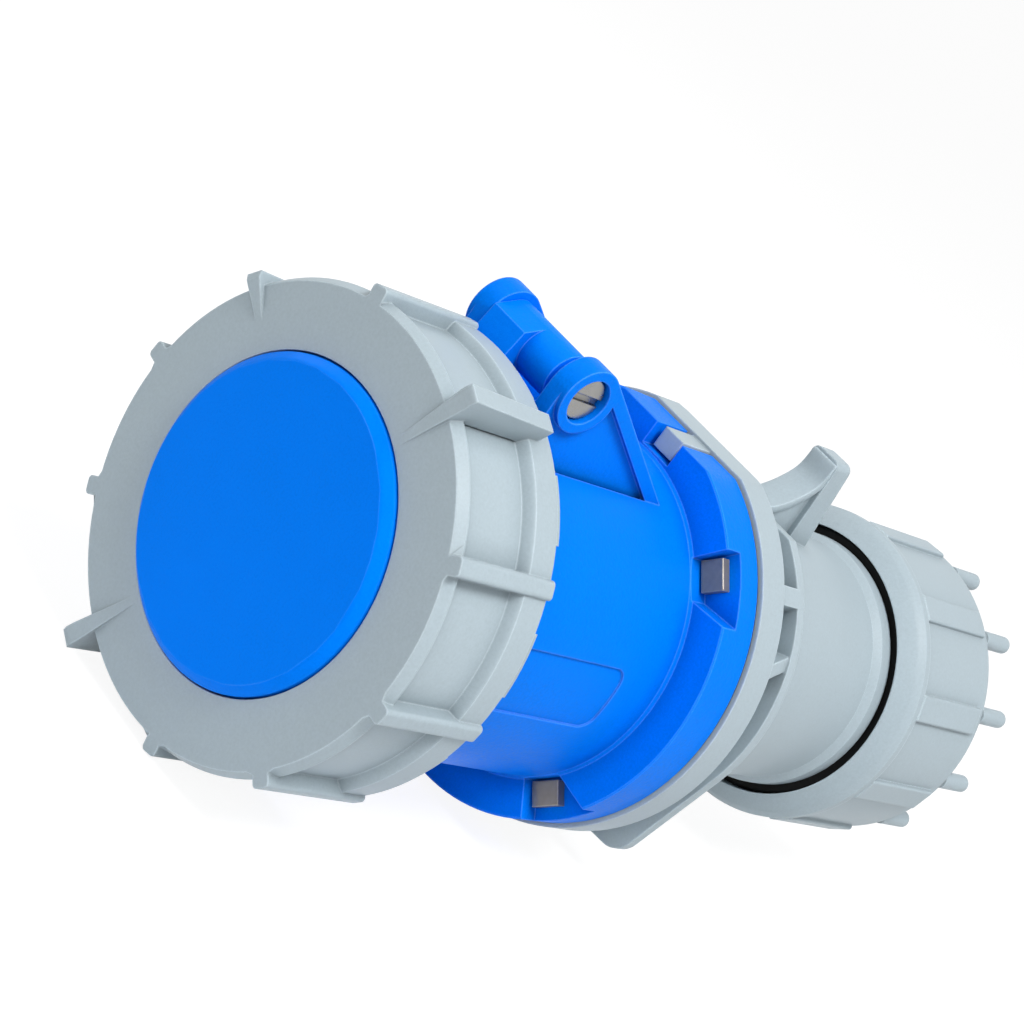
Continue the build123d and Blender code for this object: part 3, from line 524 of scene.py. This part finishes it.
def makeFinish(name, spec):
    material = bpy.data.materials.new(name)
    material.use_nodes = True
    nodes = material.node_tree.nodes
    links = material.node_tree.links
    shader = nodes["Principled BSDF"]
    group = nodes.new("ShaderNodeGroup")
    group.node_tree = spec["group"]
    for socket, value in spec["values"].items():
        group.inputs[socket].default_value = value
    for socket, value in spec["shader"].items():
        shader.inputs[socket].default_value = value
    rounding = nodes.new("ShaderNodeBevel")
    rounding.samples = edgeLook["roundingRays"]
    rounding.inputs["Radius"].default_value = spec["edge"] * mm
    links.new(rounding.outputs["Normal"], group.inputs["Rounded"])
    links.new(group.outputs["Color"], shader.inputs["Base Color"])
    links.new(group.outputs["Roughness"], shader.inputs["Roughness"])
    links.new(group.outputs["Normal"], shader.inputs["Normal"])
    return material


looks = {name: makeFinish(name, spec) for name, spec in finishes.items()}


def wear(piece, name):
    piece.data.materials.clear()
    piece.data.materials.append(looks[name])
    for face in piece.data.polygons:
        face.material_index = 0


nodeFinish = {
    "front_housing": "blueMoulding",
    "cap_lid": "capBlue",
    "locking_ring": "greyMoulding",
    "rear_housing": "greyMoulding",
    "gland_nut": "greyMoulding",
    "ring_retainer": "springSteel",
    "contact_springs": "springSteel",
    "cap_gasket": "blackRubber",
    "flange_gasket": "blackRubber",
    "nut_seal": "blackRubber",
    "cable_grommet": "blackRubber",
    "pressure_washer": "blackCarrier",
    "clamp_cage": "blackCarrier",
    "contact_face": "blackCarrier",
    "contact_island": "blackCarrier",
    "contact_carrier": "blackCarrier",
    "carrier_back": "blackCarrier",
    "hinge_pin": "brightSteel",
    "carrier_screws": "brightSteel",
    "terminal_screws": "brightSteel",
    "housing_bolts": "darkNickel",
    "threaded_inserts": "turnedBrass",
    "phase_socket": "turnedBrass",
    "neutral_socket": "turnedBrass",
    "earth_socket": "turnedBrass",
    "pilot_socket": "turnedBrass",
}
for node, finish in nodeFinish.items():
    wear(frame["nodes"][node], finish)
print("finishes given to", len(nodeFinish), "nodes")

# Moulded and plated pieces get the small radii that their edges really have, in mm
roundedPieces = {
    "front_housing": {"width": 0.55, "segments": 3, "angle": 24, "slot": "blue_plastic"},
    "cap_lid": {"width": 0.5, "segments": 3, "angle": 24, "slot": "cap_plastic"},
    "locking_ring": {"width": 0.6, "segments": 3, "angle": 24, "slot": "grey_plastic"},
    "rear_housing": {"width": 0.55, "segments": 3, "angle": 24, "slot": "grey_plastic"},
    "gland_nut": {"width": 0.35, "segments": 2, "angle": 24, "slot": "grey_plastic"},
    "housing_bolts": {"width": 0.4, "segments": 2, "angle": 30, "slot": "dark_nickel"},
    "hinge_pin": {"width": 0.3, "segments": 2, "angle": 30, "slot": "pin_steel"},
}


tolerance = 0.01  # mm, for points picked by their place

# How the copies are cleaned and smoothed: lengths in mm, angles in degrees
copyFinish = {"merge": 0.002, "flat": 0.6, "smooth": 32, "normalWeight": 60}


# Selects, in edit mode, the vertices or edges whose corner points, in mm, are wanted
def pickParts(piece, kind, wanted):
    bpy.ops.object.mode_set(mode="EDIT")
    bpy.ops.mesh.select_mode(type=kind)
    bpy.ops.mesh.select_all(action="DESELECT")
    bpy.ops.object.mode_set(mode="OBJECT")
    mesh = piece.data
    parts = mesh.vertices if kind == "VERT" else mesh.edges
    count = 0
    for part in parts:
        corners = [part] if kind == "VERT" else [mesh.vertices[i] for i in part.vertices]
        part.select = wanted([corner.co / mm for corner in corners])
        count += part.select
    bpy.ops.object.mode_set(mode="EDIT")
    return count


# The ring's ribs start flush with its face, and the band round the face is narrow.
# endStart and endLean give the sloped plane of the ribs' ends by their height above lowest
ringFront = {
    "endStart": -9.5, "endLean": 0.405, "lowest": 61.2, "slack": 0.12,
    "flush": -10.95, "roundAbove": 62.8, "round": 0.9, "segments": 3,
    "band": (-6.5, -5.4), "bandLowest": 59.0, "bandForward": -1.4,
}


def bevelPicked(spec):
    bpy.ops.mesh.bevel(
        offset=spec["round"] * mm, segments=spec["segments"], affect="EDGES", clamp_overlap=True
    )


def reachFace(piece, spec):
    def atEnd(points):
        reach = [p.yz.length for p in points]
        plane = [spec["endStart"] + (r - spec["lowest"]) * spec["endLean"] for r in reach]
        off = max(abs(p.x - x) for p, x in zip(points, plane))
        return min(reach) > spec["lowest"] and off < spec["slack"]

    def isFlush(points):
        near = all(abs(p.x - spec["flush"]) < tolerance for p in points)
        return near and all(p.yz.length > spec["roundAbove"] for p in points)

    def onBand(points):
        low, high = spec["band"]
        return all(low < p.x < high and p.yz.length > spec["bandLowest"] for p in points)

    found = pickParts(piece, "VERT", atEnd)
    middle = (spec["flush"] * mm, 0, 0)
    bpy.ops.transform.resize(value=(0, 1, 1), center_override=middle)
    edges = pickParts(piece, "EDGE", isFlush)
    bevelPicked(spec)
    band = pickParts(piece, "VERT", onBand)
    bpy.ops.transform.translate(value=(spec["bandForward"] * mm, 0, 0))
    bpy.ops.object.mode_set(mode="OBJECT")
    print("rib ends flush on", found, "points, rounded on", edges, "edges, band of", band)


# The disc's shoulder is a slope with a crisp inner edge, not a full round
discShoulder = {"front": -14.0, "radius": 42.7, "round": 2.5, "bulge": 0.2}


def slopeShoulder(piece, spec):
    front, radius, size = spec["front"], spec["radius"], spec["round"]
    inner = radius - size

    def onShoulder(points):
        low = inner - tolerance
        return all(p.x < front + size + tolerance and p.yz.length > low for p in points)

    found = pickParts(piece, "VERT", onShoulder)
    levels = sorted({round(v.co.yz.length / mm, 2) for v in piece.data.vertices if v.select})
    levelStep = 0.6 * tolerance
    for level in levels:
        def onLevel(points):
            return onShoulder(points) and abs(points[0].yz.length - level) < levelStep

        pickParts(piece, "VERT", onLevel)
        reach = min(level - inner, size)
        curve = size - math.sqrt(max(size * size - reach * reach, 0))
        back = (1 - spec["bulge"]) * (reach - curve)
        bpy.ops.transform.translate(value=(back * mm, 0, 0))
    bpy.ops.object.mode_set(mode="OBJECT")
    print("shoulder sloped on", found, "points in", len(levels), "levels")


# The blade's upper corners are rounded
bladeTop = {
    "from": 174.0, "to": 183.0, "above": 68.1, "outside": 5.3, "round": 2.4, "segments": 5,
}


def roundBlade(piece, spec):
    def atCorner(points):
        inside = all(spec["from"] < p.x < spec["to"] and p.z > spec["above"] for p in points)
        return inside and abs(sum(p.y for p in points)) > 2 * spec["outside"]

    edges = pickParts(piece, "EDGE", atCorner)
    bevelPicked(spec)
    bpy.ops.object.mode_set(mode="OBJECT")
    print("blade rounded on", edges, "edges")


reshapes = {
    "locking_ring": (reachFace, ringFront),
    "cap_lid": (slopeShoulder, discShoulder),
    "rear_housing": (roundBlade, bladeTop),
}


def roundedCopy(node, spec):
    source = frame["nodes"][node]
    piece = bpy.data.objects.new(node + "_rounded", source.data.copy())
    bpy.context.scene.collection.objects.link(piece)
    pick(piece)
    bpy.ops.object.mode_set(mode="EDIT")
    bpy.ops.mesh.select_all(action="SELECT")
    bpy.ops.mesh.remove_doubles(threshold=copyFinish["merge"] * mm)
    bpy.ops.mesh.dissolve_limited(angle_limit=math.radians(copyFinish["flat"]))
    bpy.ops.object.mode_set(mode="OBJECT")
    if node in reshapes:
        reshape, shape = reshapes[node]
        reshape(piece, shape)
    soft = piece.modifiers.new("edgeRadius", "BEVEL")
    soft.width = spec["width"] * mm
    soft.segments = spec["segments"]
    soft.limit_method = "ANGLE"
    soft.angle_limit = math.radians(spec["angle"])
    soft.use_clamp_overlap = True
    soft.miter_outer = "MITER_ARC"
    soft.harden_normals = False
    applyModifiers(piece)
    pick(piece)
    bpy.ops.object.shade_smooth_by_angle(angle=math.radians(copyFinish["smooth"]))
    steady = piece.modifiers.new("steadyNormals", "WEIGHTED_NORMAL")
    steady.keep_sharp = True
    steady.weight = copyFinish["normalWeight"]
    applyModifiers(piece)
    body = source["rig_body"]
    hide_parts(node)
    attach(piece, body)
    return piece


rounded = {node: roundedCopy(node, spec) for node, spec in roundedPieces.items()}
for node, piece in rounded.items():
    wear(piece, nodeFinish[node])
print("rounded", len(rounded), "pieces")

# Raised rim along the upper curve of the blade's gusset, its knots as x and z in mm
gussetRim = {
    "knots": [(174.5, 67.3), (172.7, 58.4), (162.0, 49.7), (147.0, 47.4)],
    "steps": 7, "halfWidth": 5.2, "thickness": 2.7, "edge": 0.5, "edgeSegments": 2,
}


# A smooth curve through all the knots, cut in steps
def smoothRun(knots, steps):
    ends = [2 * knots[0] - knots[1]] + knots + [2 * knots[-1] - knots[-2]]
    run = []
    for i in range(len(knots) - 1):
        a, b, c, d = ends[i:i + 4]
        for step in range(steps):
            t = step / steps
            run.append(0.5 * (2 * b + (c - a) * t + (2 * a - 5 * b + 4 * c - d) * t * t
                              + (3 * b - a - 3 * c + d) * t * t * t))
    return run + [knots[-1]]


# Turns the selected points about the Y axis; with no window the operator turns the other way
def turnAbout(centre, angle):
    bpy.ops.transform.rotate(value=-angle, orient_axis="Y", center_override=centre)


def makeGussetRim(spec):
    run = smoothRun([Vector((x, 0, z)) * mm for x, z in spec["knots"]], spec["steps"])
    deselectAll()
    bpy.ops.mesh.primitive_plane_add(size=1, location=(0, 0, 0))
    rim = bpy.context.object
    rim.name = "gussetRim"
    bpy.ops.object.mode_set(mode="EDIT")
    depth = spec["thickness"] * mm
    bpy.ops.transform.resize(value=(depth, 2 * spec["halfWidth"] * mm, 1))
    bpy.ops.transform.translate(value=(depth / 2, 0, 0))
    heading = Vector((0, 0, 1))
    place = Vector((0, 0, 0))
    for i, point in enumerate(run):
        before = run[max(i - 1, 0)]
        after = run[min(i + 1, len(run) - 1)]
        aim = (before - after).normalized()
        if i:
            bpy.ops.mesh.extrude_region_move(TRANSFORM_OT_translate={"value": (0, 0, 0)})
        bpy.ops.transform.translate(value=point - place)
        bend = math.atan2(aim.x, aim.z) - math.atan2(heading.x, heading.z)
        turnAbout(point, bend)
        place = point
        heading = aim
    bpy.ops.mesh.select_all(action="SELECT")
    bpy.ops.mesh.normals_make_consistent(inside=False)
    bpy.ops.object.mode_set(mode="OBJECT")
    bakePlace(rim)
    soft = rim.modifiers.new("edgeRadius", "BEVEL")
    soft.width = spec["edge"] * mm
    soft.segments = spec["edgeSegments"]
    soft.limit_method = "ANGLE"
    applyModifiers(rim)
    pick(rim)
    bpy.ops.object.shade_smooth_by_angle(angle=math.radians(copyFinish["smooth"]))
    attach(rim, "housing")
    wear(rim, "greyMoulding")
    return rim


rim = makeGussetRim(gussetRim)
print("gusset rim made with", len(rim.data.polygons), "faces")
